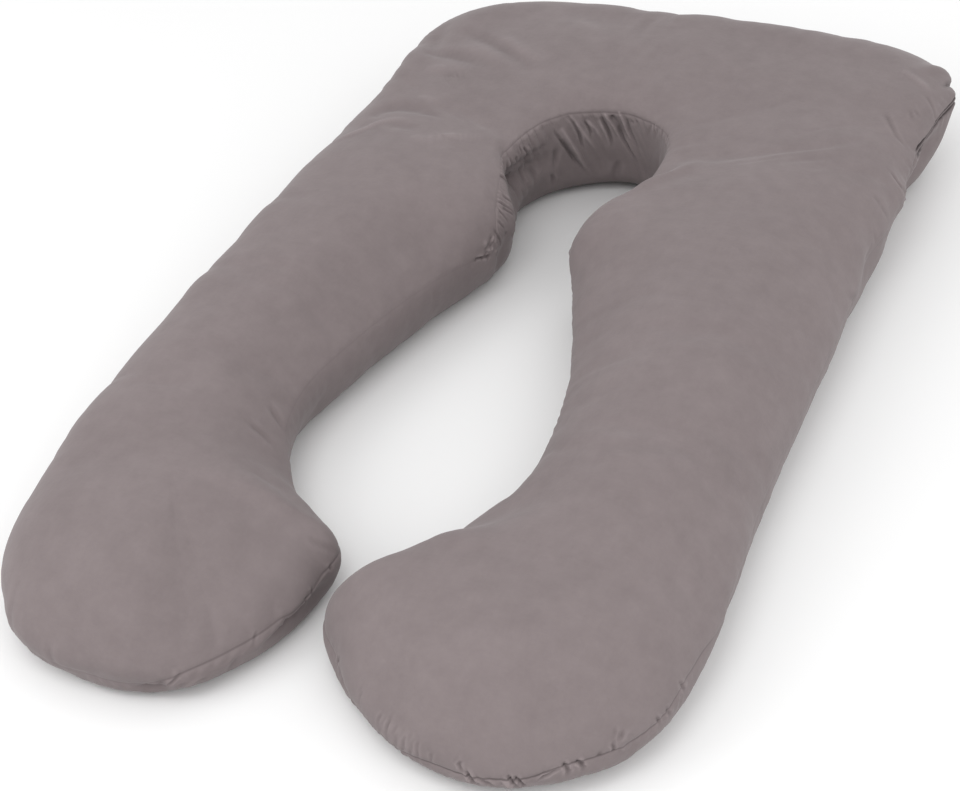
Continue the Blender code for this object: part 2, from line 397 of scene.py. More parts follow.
def cloth_lengths(mesh):
    """Each point's length along the seam and from it, from the map that the cover was sewn with."""
    corner = np.empty(len(mesh.loops), int)
    mesh.loops.foreach_get("vertex_index", corner)
    places = np.empty(len(mesh.loops) * 2)
    mesh.uv_layers["cloth"].data.foreach_get("uv", places)
    lengths = np.zeros((len(mesh.vertices), 2))
    lengths[corner] = places.reshape(-1, 2)
    return lengths


# ------------------------------
# Folds that are placed one by one. A crease sinks by its depth along its path and pushes up a lip on
# both sides; a negative depth makes it a ridge. Width is half of its breadth. All in millimetres,
# but for the paths on the top, which are plan places in metres, and on the sides, which are
# the row of the seam and the millimetres above its widest line.
# How steeply a crease sinks or stands up also paints shade in its hollow and a highlight on its ridge
# or lips.
Crease = namedtuple("Crease", "width depth path lip", defaults=(0,))
# A crease comes up over the first share of its path and dies away over the last. Its lips stand
# LIP_AT widths from its middle. Creases on the top begin TOP_FADE metres above the widest line.
CREASE_START = 0.25
CREASE_END = 0.4
LIP_AT = 1.8
TOP_FADE = 0.01
TOP_CREASES = (
    # The left leg's shoulder: two raised folds with hollows beside them.
    Crease(
        4.5,
        -3,
        ((-0.354, 0.185), (-0.326, 0.204), (-0.308, 0.233), (-0.284, 0.249), (-0.257, 0.252)),
    ),
    Crease(
        14,
        5.2,
        ((-0.33, 0.262), (-0.315, 0.279), (-0.296, 0.288), (-0.25, 0.286), (-0.222, 0.27)),
        0.1,
    ),
    Crease(5, 1.6, ((-0.334, 0.262), (-0.322, 0.259), (-0.306, 0.258))),
    Crease(5, 1.6, ((-0.262, 0.278), (-0.243, 0.281), (-0.226, 0.271))),
    Crease(7, -1.8, ((-0.283, 0.321), (-0.267, 0.319), (-0.246, 0.306))),
    Crease(
        6.5,
        -2.8,
        ((-0.241, 0.2), (-0.217, 0.2), (-0.204, 0.219), (-0.173, 0.236), (-0.152, 0.253)),
    ),
    Crease(9, 2, ((-0.284, 0.233), (-0.261, 0.23), (-0.236, 0.226)), 0.1),
    # The left of the head: wide drawn folds.
    Crease(11, 4.2, ((-0.335, 0.462), (-0.296, 0.453), (-0.262, 0.441), (-0.227, 0.431)), 0.2),
    Crease(14, -3, ((-0.294, 0.484), (-0.258, 0.472), (-0.212, 0.445), (-0.18, 0.43))),
    Crease(12, -2.4, ((-0.31, 0.408), (-0.276, 0.409), (-0.244, 0.41))),
    Crease(4, 1.1, ((-0.274, 0.387), (-0.256, 0.391), (-0.238, 0.397))),
    Crease(
        9,
        3.2,
        ((-0.306, 0.529), (-0.271, 0.509), (-0.238, 0.493), (-0.183, 0.447), (-0.152, 0.428)),
        0.2,
    ),
    Crease(11, -3, ((-0.243, 0.512), (-0.212, 0.491), (-0.178, 0.467), (-0.145, 0.448))),
    Crease(28, 3, ((-0.175, 0.608), (-0.11, 0.592), (-0.05, 0.57)), 0.2),
    Crease(9, -1.3, ((-0.145, 0.564), (-0.122, 0.56), (-0.098, 0.553))),
    # Beside the keyhole, and one or two on each leg.
    Crease(9, 1.6, ((-0.117, 0.205), (-0.121, 0.232), (-0.119, 0.262)), 0.3),
    Crease(11, 1.8, ((-0.24, -0.32), (-0.223, -0.296), (-0.209, -0.285), (-0.188, -0.266)), 0.3),
    Crease(10, 1.1, ((-0.255, -0.204), (-0.236, -0.205), (-0.218, -0.208)), 0.3),
    Crease(10, 1.1, ((-0.256, -0.392), (-0.244, -0.41), (-0.232, -0.428)), 0.3),
    Crease(
        9,
        1.5,
        ((0.214, -0.327), (0.253, -0.325), (0.277, -0.313), (0.311, -0.301), (0.328, -0.295)),
        0.3,
    ),
    Crease(8, 0.9, ((0.195, -0.349), (0.216, -0.35), (0.239, -0.347)), 0.3),
)
SIDE_CREASES = (
    # The keyhole's wall: the dark line that parts it from the neck, and the hollow beside that.
    Crease(1.8, 5, ((38.34, 51), (38.2, 40), (38.08, 28), (37.94, 14))),
    Crease(7, 7, ((36.98, -6), (36.86, -22), (36.62, -43), (36.5, -64))),
    # A ledge under the seam, and the short folds that hang from it.
    Crease(6, 4.2, ((37.4, 4), (36.95, -12), (36.5, -22), (35.92, -27), (35.5, -29), (35.2, -31))),
    Crease(18, 11, ((37.1, -24), (36.7, -38), (36.2, -46), (35.6, -52), (35.1, -66))),
    Crease(3, 2.6, ((36.72, -30), (36.66, -50), (36.62, -70)), 0.3),
    Crease(3.5, 2.6, ((36.3, -34), (36.24, -52), (36.26, -74)), 0.3),
    Crease(1.6, 2.6, ((37.04, 8), (37, -2), (36.93, -16)), 0.4),
    Crease(1.2, 1.6, ((36.86, 4), (36.8, -4), (36.76, -12)), 0.4),
    Crease(1.9, 3.2, ((36.68, -1), (36.58, -9), (36.52, -22)), 0.4),
    Crease(1.2, 1.8, ((36.46, 6), (36.42, 0), (36.36, -9)), 0.6),
    Crease(1.7, 3.2, ((36.31, -2), (36.22, -9), (36.17, -20)), 0.4),
    Crease(1.3, 2, ((36.14, -3), (36.04, -10), (36.01, -21)), 0.4),
    # Long folds that slant down the wall, each a groove with a ridge beside it.
    Crease(
        1.8,
        3.6,
        ((35.22, -12), (35.05, -31), (34.93, -42), (34.81, -54), (34.66, -72), (34.26, -106)),
        0.2,
    ),
    Crease(3, 2.2, ((35.04, -32), (34.9, -46), (34.76, -60), (34.64, -76), (34.56, -84))),
    Crease(3, -4.5, ((35.02, -14), (34.83, -35), (34.63, -55), (34.5, -69), (34.3, -104))),
    Crease(
        1.9,
        4,
        ((34.8, 2), (34.66, -8), (34.55, -20), (34.47, -32), (34.43, -48), (34.31, -62)),
        0.2,
    ),
    Crease(3, -3.5, ((34.74, 0), (34.53, -18), (34.4, -29), (34.27, -42), (34.01, -63))),
    Crease(1.5, 2.8, ((34.32, -12), (34.2, -24), (34.15, -32), (34.15, -42)), 0.2),
    Crease(2.4, -2.6, ((34.27, -12), (34.1, -22), (33.96, -30), (33.76, -50))),
    Crease(2, 3.6, ((33.78, -10), (33.62, -24), (33.52, -37), (33.44, -50), (33.44, -62)), 0.2),
    Crease(2.6, -2.4, ((33.9, -14), (33.73, -28), (33.6, -40), (33.46, -62))),
    Crease(
        1.5,
        -3.4,
        ((33.66, -4), (33.49, -16), (33.34, -25), (33.22, -35), (33.09, -43), (32.98, -51)),
    ),
    Crease(4.5, 4, ((33.36, -8), (33.2, -20), (33.06, -34), (32.92, -48))),
    Crease(
        2,
        4.2,
        ((33.17, -28), (33.07, -40), (32.95, -50), (32.84, -58), (32.76, -66), (32.5, -84)),
        0.2,
    ),
    Crease(
        1.5,
        -3.4,
        ((33.11, -2), (32.99, -10), (32.94, -17), (32.87, -23), (32.83, -31), (32.68, -46)),
    ),
    Crease(2.4, 3.2, ((32.82, -12), (32.74, -28), (32.64, -38), (32.53, -47), (32.42, -58)), 0.2),
    Crease(2, 1.8, ((31.6, 0), (31.53, -8), (31.47, -16)), 0.5),
    Crease(2, 1.8, ((31.1, 6), (31.04, 0), (31, -10)), 0.5),
    Crease(2.2, 2, ((30.66, 10), (30.6, 3), (30.55, -8)), 0.5),
    # Softer ones lower down.
    Crease(4, 3, ((36.14, -18), (36.08, -37), (36, -50)), 0.3),
    Crease(4, 3.2, ((35.95, -54), (35.87, -70), (35.9, -86)), 0.3),
    Crease(3.5, 3, ((35.18, -44), (35.2, -60), (35.22, -76)), 0.3),
    Crease(2.6, 3, ((35.36, -84), (35.3, -96), (35.29, -106)), 0.4),
    Crease(4.5, 2.6, ((33.25, -86), (33.34, -100), (33.52, -114)), 0.3),
    # The neck of the left leg: a fold that ends its seam, and slanting gathers over it.
    Crease(2.2, 4, ((39.26, 16), (39.2, 4), (39.12, -12), (39.05, -28)), 0.3),
    Crease(1.5, 2.4, ((38.88, 38), (38.76, 27), (38.58, 12), (38.42, -4)), 0.5),
    Crease(1.5, 2.6, ((38.82, 26), (38.66, 12), (38.45, -6)), 0.5),
    Crease(1.5, 2.2, ((39.12, 22), (39.04, 11), (38.92, -2)), 0.5),
    Crease(1.5, 2.2, ((38.62, 34), (38.44, 18), (38.3, 2)), 0.5),
    Crease(1.5, 2, ((38.98, 32), (38.9, 18), (38.74, 2)), 0.5),
    Crease(1.6, 3, ((38.96, -10), (38.88, -8), (38.82, -12)), 0.3),
    Crease(1.6, 3, ((38.66, -22), (38.58, -24), (38.5, -28)), 0.3),
    Crease(1.7, 2.2, ((39.82, -3), (39.66, -8), (39.52, -14), (39.4, -18)), 0.5),
    # The right head corner: the notch across the seam, and the creases that fan out below it.
    Crease(4.5, 5.5, ((3.7, 2), (3.86, 18), (3.96, 27), (4.05, 36), (4.16, 45))),
    Crease(4, -2.2, ((3.6, 108), (3.93, 91), (4.08, 80), (4.26, 65), (4.38, 49))),
    Crease(2.4, 1.3, ((4.37, 66), (4.53, 49), (4.62, 35), (4.69, 24), (4.7, 14)), 0.4),
    Crease(2.2, 1, ((4.75, 70), (4.9, 57), (4.99, 49)), 0.4),
    Crease(2, 0.9, ((4.74, 62), (4.81, 54), (4.87, 46)), 0.4),
    Crease(2.8, 1.6, ((4.7, 112), (4.92, 92), (5.1, 74), (5.22, 59), (5.28, 47), (5.35, 25)), 0.5),
    Crease(2.4, 2.4, ((5.72, 42), (5.79, 28), (5.8, 18), (5.78, 6), (5.6, -22)), 0.5),
    Crease(1.8, 1.4, ((5.37, 14), (5.37, 2), (5.3, -20)), 0.4),
    Crease(3, 1.4, ((6.12, 56), (6.17, 36), (6.19, 18), (6.18, 2)), 0.4),
    Crease(3, 1.2, ((6.46, 32), (6.43, 18), (6.4, 4)), 0.4),
    Crease(3, 1.2, ((6.7, 12), (6.62, 9), (6.5, 12)), 0.4),
    Crease(4.5, 1.6, ((7.22, 22), (7.1, 6), (6.9, -24)), 0.4),
    # The left leg's inner side, and its waist; the broad hollow paints shade along the inner side.
    Crease(40, 5.5, ((40, 66), (41.4, 80), (42.6, 82), (43.8, 72))),
    Crease(5, 2.6, ((43.58, 52), (43.66, 36), (43.7, 20)), 0.4),
    Crease(5, 2.6, ((44.18, 74), (44.21, 52), (44.24, 28)), 0.4),
    # The left foot: the band below its seam is drawn in, most of all where it faces the other leg,
    # and its deep creases paint shade there. The broad ridge above paints a highlight on the top.
    Crease(28, -4, ((46.1, 52), (46.6, 50), (47.3, 48), (48.1, 46), (48.8, 42))),
    Crease(7, 7, ((46.92, -8), (47.15, -9), (47.4, -7), (47.62, -8), (47.85, -14))),
    Crease(15, 6.5, ((46.4, -18), (46.8, -20), (47.4, -18), (48, -18))),
    Crease(1.2, -1, ((46.86, 0), (47.05, -1), (47.32, 0))),
    Crease(1.3, -2, ((47.44, 2), (47.47, -5), (47.52, -13))),
    Crease(1.6, 2.4, ((47.38, 3), (47.4, -5), (47.44, -14)), 0.2),
    Crease(1.5, 1, ((46.4, 8), (46.42, 4), (46.38, -2)), 0.5),
    Crease(1.5, 1.2, ((46.82, 8), (46.85, 3), (46.87, -4)), 0.5),
    Crease(1.5, 1, ((46.98, 5), (47, 2), (47.01, -3)), 0.5),
    Crease(1.8, 1, ((47.84, 14), (47.92, 9), (47.94, 3)), 0.5),
    Crease(5, 2, ((48.18, -4), (48.24, -14), (48.34, -26)), 0.3),
    Crease(1.8, 1.6, ((48.94, 5), (49.06, -4), (49.16, -12)), 0.4),
    Crease(7, 6, ((49.12, -14), (49.35, -16), (49.62, -16))),
    Crease(1.6, 1.4, ((48.6, -14), (48.9, -12), (49.1, -12)), 0.6),
    Crease(5, 1.2, ((51.3, 52), (51.18, 26), (51.06, -8)), 0.5),
    Crease(4, 1.4, ((50.58, 22), (50.55, 8), (50.53, -6)), 0.5),
    Crease(3, 1.2, ((46.38, 46), (46.27, 26), (46.16, 6)), 0.4),
    # The right foot: short puckers over its seam, from the inner side round to the outer one.
    Crease(2, 2.6, ((17.96, 18), (17.98, 10), (18.02, 0)), 0.4),
    Crease(2.2, 1.2, ((17.3, 24), (17.24, 12), (17.22, 0)), 0.5),
    Crease(1.8, 1.1, ((16.8, 20), (16.77, 8), (16.76, -8)), 0.8),
    Crease(1.8, 1.3, ((16.64, 24), (16.61, 10), (16.6, -8)), 0.8),
    Crease(1.7, 1, ((16.5, 20), (16.47, 8), (16.47, -7)), 0.8),
    Crease(1.7, 1.4, ((16.37, 24), (16.34, 10), (16.35, -6)), 0.8),
    Crease(1.7, 1.2, ((16.24, 22), (16.22, 9), (16.23, -5)), 0.8),
    Crease(1.7, 1, ((16.12, 18), (16.11, 8), (16.12, -4)), 0.8),
    Crease(1.7, 0.9, ((15.94, 14), (15.93, 6), (15.94, -2)), 0.6),
    Crease(1.7, 1.9, ((15.66, 18), (15.62, 8), (15.58, 2)), 0.6),
    Crease(1.8, 3.4, ((15.56, 6), (15.52, -3), (15.44, -14)), 0.7),
    Crease(1.6, 2.2, ((15.47, -1), (15.36, -6), (15.26, -12)), 0.5),
    Crease(2.2, -1.8, ((15.24, 0), (15.2, -8), (15.17, -18))),
    Crease(1.6, 3.2, ((15.19, 6), (15.15, -4), (15.13, -18)), 0.4),
    Crease(1.6, 3.6, ((15.13, 4), (15.08, -6), (15.05, -18)), 0.4),
    Crease(1.4, 1.4, ((14.94, -4), (14.86, 0), (14.76, 5)), 0.8),
    Crease(1.8, 3, ((14.76, 10), (14.73, 4), (14.72, -8)), 0.6),
    Crease(1.8, 3.4, ((14.66, 9), (14.62, 3), (14.62, -8)), 0.6),
    Crease(1.7, 2.6, ((14.37, 16), (14.36, 9), (14.37, 2)), 0.4),
    Crease(1.6, 2.2, ((14.34, 26), (14.28, 17), (14.18, 13)), 0.4),
    Crease(1.8, 1.8, ((13.92, 12), (13.87, 6), (13.84, -4)), 0.5),
    Crease(1.8, 1.4, ((13.72, 10), (13.68, 2), (13.66, -8)), 0.5),
    Crease(2, 1.6, ((13.38, 18), (13.32, 6), (13.3, -6)), 0.5),
)

# How deep the stitches sink, in millimetres, by row, and the little roll of cloth beside them.
STITCH_WIDTH = 0.0014
STITCH_DEPTH = (
    *((0, 0.5), (3.8, 0.7), (4.0, 2.0), (5.25, 2.0), (5.5, 0.7), (12.4, 0.5), (12.8, 0.8)),
    *((16, 0.8), (17.5, 0.6), (18.5, 0.5), (26.4, 0.5), (27, 0.6), (37.4, 0.7), (38.2, 0.35)),
    *((39.2, 0.3), (39.8, 0.4), (45.6, 0.5), (46.2, 0.7), (49.2, 0.7), (49.8, 0.5), (66, 0.5)),
)
ROLL_AT = 0.0055
ROLL_SHARE = 0.35
# How much painted shade darkens the stitched line's groove, by row, from 0 to 1.
STITCH_SHADE = (
    *((0, 0.12), (3.8, 0.15), (12.4, 0.15), (12.8, 0.3), (13.4, 0.25), (14.2, 0.35), (14.9, 0.5)),
    *((15.7, 0.5), (16.4, 0.3), (16.8, 0.12), (18.5, 0.1), (26.4, 0.08), (27, 0.15), (34, 0.22)),
    *((37.2, 0.2), (38.4, 0.06), (39.8, 0.06), (42, 0.08), (45.6, 0.1), (46.2, 0.35), (49.0, 0.3)),
    *((49.3, 0.1), (66, 0.12)),
)
# At the right head corner the seam sinks in a deep double fold, from one row to the other. It comes
# and goes over a part of a row, and a lip stands above it. Its two grooves are darkened with painted
# shade.
FOLD_ROWS = (3.98, 5.27)
FOLD_ENDS = 0.08
FOLD_APART = 0.0046
FOLD_WIDTH = 0.0021
FOLD_DEPTH = 0.0055
FOLD_LIP_AT = 0.009
FOLD_LIP_WIDTH = 0.004
FOLD_LIP_SHARE = 0.4

# Gathers along stretches of the seam: from row to row, how high they are above and below it, how
# far apart, how far they reach up and down, and how they lean. Millimetres, but for the lean.
Gathers = namedtuple("Gathers", "first last above below pitch up down lean")
# They come and go over a part of a row, and the stitches pinch away a share of them.
GATHER_ENDS = 0.5
PINCH_WIDTH = 0.004
PINCH_SHARE = 0.75
# The waves that are mixed to make them, and how much their lengths and turns differ.
WAVE_COUNT = 4
WAVE_LENGTHS = (0.75, 1.6)
WAVE_TURNS = (-0.6, 0.6)
WAVE_SHARPNESS = 0.02
WAVE_MEAN = 0.8
GATHERS = (
    Gathers(0, 66, 0.35, 0.5, 17, 16, 28, 0),
    Gathers(31.8, 38.2, 0.4, 1.5, 13, 7, 110, -0.35),
    Gathers(37.6, 39.3, 0.3, 1.6, 6.5, 6, 45, -0.7),
    Gathers(33.4, 37.2, 0.2, 1.2, 4.5, 5, 14, -0.5),
    Gathers(26.7, 32.2, 0.4, 1.6, 13, 8, 60, 0.5),
    Gathers(39.5, 44.5, 0.5, 1.1, 19, 20, 40, -0.3),
    Gathers(21.5, 26.5, 0.5, 1.1, 19, 20, 40, 0.3),
    Gathers(12.8, 18.6, 0.5, 1.2, 13, 12, 18, 0.1),
    Gathers(45.8, 49.4, 0.2, 1.2, 19, 8, 22, 0.2),
    Gathers(49.4, 52, 0.6, 1.2, 13, 12, 20, 0.1),
    Gathers(3.6, 6.4, 0.8, 1.4, 15, 30, 30, -0.2),
    Gathers(59.8, 63.2, 0.8, 1.2, 15, 30, 30, 0.2),
)

# Small lumps and pits where the seam turns sharply: row, millimetres above the widest line, radius
# and height.
Knot = namedtuple("Knot", "row level radius height")
KNOTS = (
    Knot(39.33, 4, 2.8, 3.2),
    Knot(39.27, -2, 2.4, 2.4),
    Knot(39.39, -8, 2.6, 2.6),
    Knot(39.55, 8, 3.4, 2.6),
    Knot(39.47, -6, 2.6, 3),
    Knot(39.25, -9, 2.4, 2),
    Knot(39.27, -18, 2.6, 2.4),
    Knot(39.39, 7, 2.2, -3.2),
    Knot(39.45, 1, 2.4, -3.4),
    Knot(39.4, -3, 2, -2.6),
    Knot(39.53, 0, 2.2, -3.2),
    Knot(39.56, -8, 2.6, -3.6),
    Knot(39.21, -27, 2.6, -4.5),
    Knot(39.5, -16, 3, -4.5),
    Knot(39.65, -10, 2.4, -3.2),
    Knot(39.8, -5, 2.4, -2.2),
    Knot(33.36, -13, 2.6, -2.6),
    Knot(32.59, -15, 2.4, -2.2),
    Knot(32.36, -12, 2.4, -2),
    Knot(26.56, 8, 4, 2.2),
    Knot(26.5, -10, 4, -3),
    Knot(46.44, 10, 3, 1.2),
    Knot(46.99, 2, 2.6, -1.4),
    Knot(47.42, 1, 4, -1.8),
    Knot(49, 8, 3.6, 1.2),
    Knot(49.2, -5, 3.6, -2.4),
    Knot(46.4, 4, 2.2, -1.6),
    Knot(46.88, 8, 2.6, 1),
    Knot(14.61, 3, 2.6, -2),
    Knot(14.48, 7, 2.4, -2),
    Knot(14.28, 1, 4, 1.2),
    Knot(5.25, -22, 3, 1.6),
)

# Where the filling stands the cover out or lets it fall in: row, millimetres above the widest
# line, how far it reaches along the seam and up, and height, in millimetres.
Push = namedtuple("Push", "row level along up height")
PUSHES = (
    Push(0.8, 122, 150, 34, 7),
    Push(2.6, 98, 90, 34, 4.4),
    Push(3.68, 40, 16, 40, 7),
    Push(4.12, 6, 16, 18, 6),
    Push(4.72, -30, 44, 26, -8),
    Push(5.05, -40, 60, 34, -15),
    Push(5.78, 4, 26, 26, 6.5),
    Push(6.1, 5, 40, 26, 2),
    Push(6.62, -5, 38, 26, -9),
    Push(9.6, 4, 90, 26, -3.6),
    Push(10.6, 12, 40, 26, 2),
    Push(12.1, 8, 50, 24, 4.4),
    Push(14.2, -6, 40, 20, -1.4),
    Push(15.2, -6, 44, 20, 4.2),
    Push(15.85, -2, 22, 20, -2.4),
    Push(16.8, 2, 45, 24, 6.4),
    Push(18.05, 12, 36, 28, -6.5),
    Push(19, 97, 50, 40, 4),
    Push(20, 96, 38, 44, 10),
    Push(20.25, 84, 30, 44, 4),
    Push(20.9, 88, 50, 44, -8),
    Push(22.4, 48, 90, 40, 8),
    Push(23, 14, 50, 26, 2),
    Push(24.2, 26, 80, 34, 1.4),
    Push(25.4, 24, 40, 30, 4),
    Push(26.4, 36, 26, 34, 6),
    Push(27.74, 97, 36, 32, 8),
    Push(33.2, -118, 70, 24, 9),
    Push(36, -108, 36, 24, -6),
    Push(37, -90, 24, 24, 7),
    Push(37.6, 0, 22, 40, -12),
    Push(38.55, -14, 20, 30, 7),
    Push(38.95, -44, 30, 26, -8),
    Push(38.95, -66, 30, 22, -4),
    Push(41, -44, 60, 26, -2.2),
    Push(42.5, -32, 60, 26, -4.6),
    Push(44.5, 14, 46, 28, 7.5),
    Push(45.2, 34, 40, 34, 4),
    Push(45.75, 56, 36, 34, -5.5),
    Push(46.04, 30, 24, 30, 5),
    Push(46.2, 8, 24, 24, 2.4),
    Push(46.75, -8, 30, 22, -6),
    Push(48.1, -10, 40, 22, -5.2),
    Push(48.8, -10, 36, 22, 1.8),
    Push(49.9, -8, 60, 18, -5.4),
    Push(51, 14, 56, 30, 6),
    Push(53.5, 62, 56, 34, 5),
    Push(54.6, 80, 80, 34, 6.4),
    Push(56.9, 90, 90, 34, 9.4),
    Push(58.2, 92, 90, 34, 8),
    Push(59.2, 92, 70, 34, 4.2),
    Push(60.45, 80, 48, 42, 6),
    Push(60.9, 73, 60, 42, 13.6),
    Push(61.82, 80, 46, 41, -12.8),
    Push(62.2, 92, 40, 36, 1.6),
    Push(63.3, 102, 90, 36, 7.4),
    Push(65.4, 118, 90, 34, 3),
)

# The fibre inside is never quite even: broad lumps under the cover. All that is moved here fades
# out where the cover comes down to the bed.
LUMP_COUNT = 9
LUMP_HEIGHT = 0.0007
LUMP_PITCH = 0.16
LUMP_LENGTHS = (0.6, 1.5)
LYING_FADE = 0.02

# Parts of the cover whose folds need a finer mesh: rows, millimetres from the stitches, and the
# cuts that are made in each length along the seam and across it.
Patch = namedtuple("Patch", "first last low high along across")
FINE_PATCHES = (
    Patch(31.2, 39.9, -106, 10, 1, 2),
    Patch(57.6, 61.4, 70, 230, 0, 2),
    Patch(37.3, 38.8, 120, 250, 1, 1),
    Patch(3.6, 5.9, 12, 115, 1, 1),
    Patch(39.0, 39.8, -40, 30, 0, 1),
    Patch(3.7, 5.7, -14, 12, 1, 1),
    Patch(45.9, 50.2, -14, 8, 1, 1),
    Patch(13.0, 18.4, -8, 8, 1, 1),
)
SEED = 7


def smooth_path(path):
    """The path with its corners cut twice."""
    path = np.array(path, float)
    for _ in range(2):
        near = path[:-1] * 0.75 + path[1:] * 0.25
        far = path[:-1] * 0.25 + path[1:] * 0.75
        inside = np.stack([near, far], axis=1).reshape(-1, 2)[1:-1]
        path = np.concatenate([path[:1], inside, path[-1:]])
    return path


def beside_path(places, path):
    """Each place's distance from the path, and its share of the way along it."""
    lengths = np.linalg.norm(np.diff(path, axis=0), axis=1)
    run = np.concatenate([[0], np.cumsum(lengths)]) / lengths.sum()
    nearest, share = np.full(len(places), np.inf), np.zeros(len(places))
    for number, (start, end) in enumerate(zip(path[:-1], path[1:])):
        reach = end - start
        part = np.clip((places - start) @ reach / (reach @ reach), 0, 1)
        gap = np.linalg.norm(places - start - part[:, None] * reach, axis=1)
        closer = gap < nearest
        nearest[closer] = gap[closer]
        share[closer] = (run[number] + part * (run[number + 1] - run[number]))[closer]
    return nearest, share


def crease_height(places, crease, path):
    """How far a crease moves each place out, less than 0 where it sinks in."""
    gap, share = beside_path(places, smooth_path(path))
    width = crease.width / 1000
    fade = np.sqrt(np.clip(share / CREASE_START, 0, 1)) * np.clip((1 - share) / CREASE_END, 0, 1)
    lips = crease.lip * hump(gap - LIP_AT * width, width)
    return -crease.depth / 1000 * fade * (hump(gap, width) - lips)


def waves(random, along, pitch, turning):
    """Uneven waves about a pitch apart, sharp below and round above, and about 0 on average."""
    total = 0
    for _ in range(WAVE_COUNT):
        length = 2 * pitch * random.uniform(*WAVE_LENGTHS)
        turn = random.uniform(*WAVE_TURNS)
        total = total + np.cos(2 * math.pi * (along / length + random.random() + turn * turning))
    return np.sqrt(total**2 / 2 + WAVE_SHARPNESS) - WAVE_MEAN


def gathered(random, rows, along, across, gathers):
    """How high the gathers of one stretch of the seam stand at each point."""
    reach = np.where(across > 0, gathers.up, gathers.down) / 1000
    tall = np.where(across > 0, gathers.above, gathers.below) / 1000
    away = np.abs(across) / reach
    inside = between(rows, gathers.first, gathers.last, GATHER_ENDS)
    leaning = along + gathers.lean * across
    rise = 1 - PINCH_SHARE * hump(across, PINCH_WIDTH)
    return tall * inside * rise * np.exp(-away) * waves(random, leaning, gathers.pitch / 1000, away)


def broad_lumps(random, points):
    """How far the uneven fibre stands each point out: waves across the pillow in all directions."""
    total = 0
    for _ in range(LUMP_COUNT):
        angle, phase = random.uniform(0, math.pi), random.uniform(0, 2 * math.pi)
        length = LUMP_PITCH * random.uniform(*LUMP_LENGTHS)
        way = np.array([math.cos(angle), math.sin(angle)])
        total = total + np.cos(points[:, :2] @ way * 2 * math.pi / length + phase)
    return LUMP_HEIGHT * total / 2


def refine_folds(cover, stitched):
    """Cuts the mesh finer where the cover is closely folded."""
    mesh = cover.data
    bpy.ops.object.mode_set(mode="EDIT")
    bpy.ops.mesh.select_mode(type="EDGE")
    for patch in FINE_PATCHES:
        for way, cuts in enumerate((patch.along, patch.across)):
            bpy.ops.mesh.select_all(action="DESELECT")
            bpy.ops.object.mode_set(mode="OBJECT")
            lengths = cloth_lengths(mesh)
            ends = np.empty(len(mesh.edges) * 2, int)
            mesh.edges.foreach_get("vertices", ends)
            start, end = lengths[ends[0::2]], lengths[ends[1::2]]
            row = np.interp((start + end)[:, 0] / 2, *stitched)
            across = (start + end)[:, 1] / 2 * 1000
            inside = (row > patch.first) & (row < patch.last)
            inside &= (across > patch.low) & (across < patch.high)
            run = np.abs(end - start)
            mesh.edges.foreach_set("select", inside & (run[:, way] > run[:, 1 - way]))
            bpy.ops.object.mode_set(mode="EDIT")
            if cuts:
                bpy.ops.mesh.subdivide(number_cuts=cuts)
    bpy.ops.object.mode_set(mode="OBJECT")


def side_places(path, stitched):
    """Rows and levels in millimetres as metres along the seam and above the widest line."""
    rows, levels = np.array(path, float).T
    return np.column_stack([np.interp(rows, stitched[1], stitched[0]), levels / 1000])


